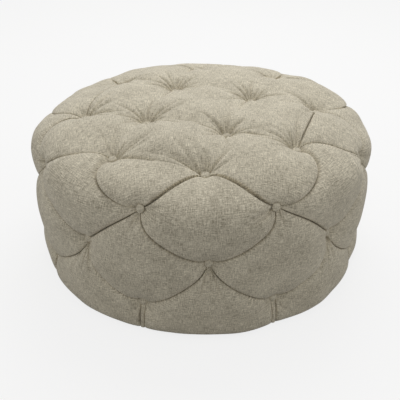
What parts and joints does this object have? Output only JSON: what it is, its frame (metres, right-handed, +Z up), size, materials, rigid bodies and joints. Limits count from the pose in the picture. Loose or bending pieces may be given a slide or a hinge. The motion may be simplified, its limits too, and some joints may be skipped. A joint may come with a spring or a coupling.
{
  "type": "tufted ottoman coffee table",
  "caption": "Low round drum ottoman used as a coffee table, padded all over, with a button-tufted fabric cover pleated in diamonds over top and side.",
  "frame": {"origin": "on the floor under the centre of the drum", "axes": "+Z up; -Y to the front, which has a middle-row button on its centre line; +X to the right"},
  "size_m": [0.892, 0.892, 0.44],
  "materials": {
    "linen": "slubby linen-look weave",
    "wadding": "soft polyester fibre",
    "foam": "firm open-cell foam",
    "plywood": "raw plywood",
    "hardboard": "raw hardboard",
    "timber": "raw sawn softwood",
    "twine": "waxed twine",
    "dust_cloth": "thin spun fabric",
    "glide": "smooth moulded"
  },
  "bodies": {
    "root": {"cover": "linen", "wadding": "wadding", "firm_top_pad": "foam", "firm_side_wrap": "foam", "top_deck": "plywood", "base_board": "plywood", "drum_wall_left": "hardboard", "drum_wall_right": "hardboard", "dust_cloth": "dust_cloth", "post_1": "timber", "post_2": "timber", "post_3": "timber", "post_4": "timber", "post_5": "timber", "post_6": "timber", "post_7": "timber", "post_8": "timber", "glide_1": "glide", "glide_2": "glide", "glide_3": "glide", "glide_4": "glide", "glide_5": "glide", "glide_6": "glide", "glide_7": "glide", "glide_8": "glide", "top_inner_buttons": "linen", "top_inner_twines": "twine", "top_outer_buttons": "linen", "top_outer_twines": "twine", "high_side_buttons": "linen", "high_side_twines": "twine", "middle_side_buttons": "linen", "middle_side_twines": "twine", "low_side_buttons": "linen", "low_side_twines": "twine"}
  },
  "joints": []
}
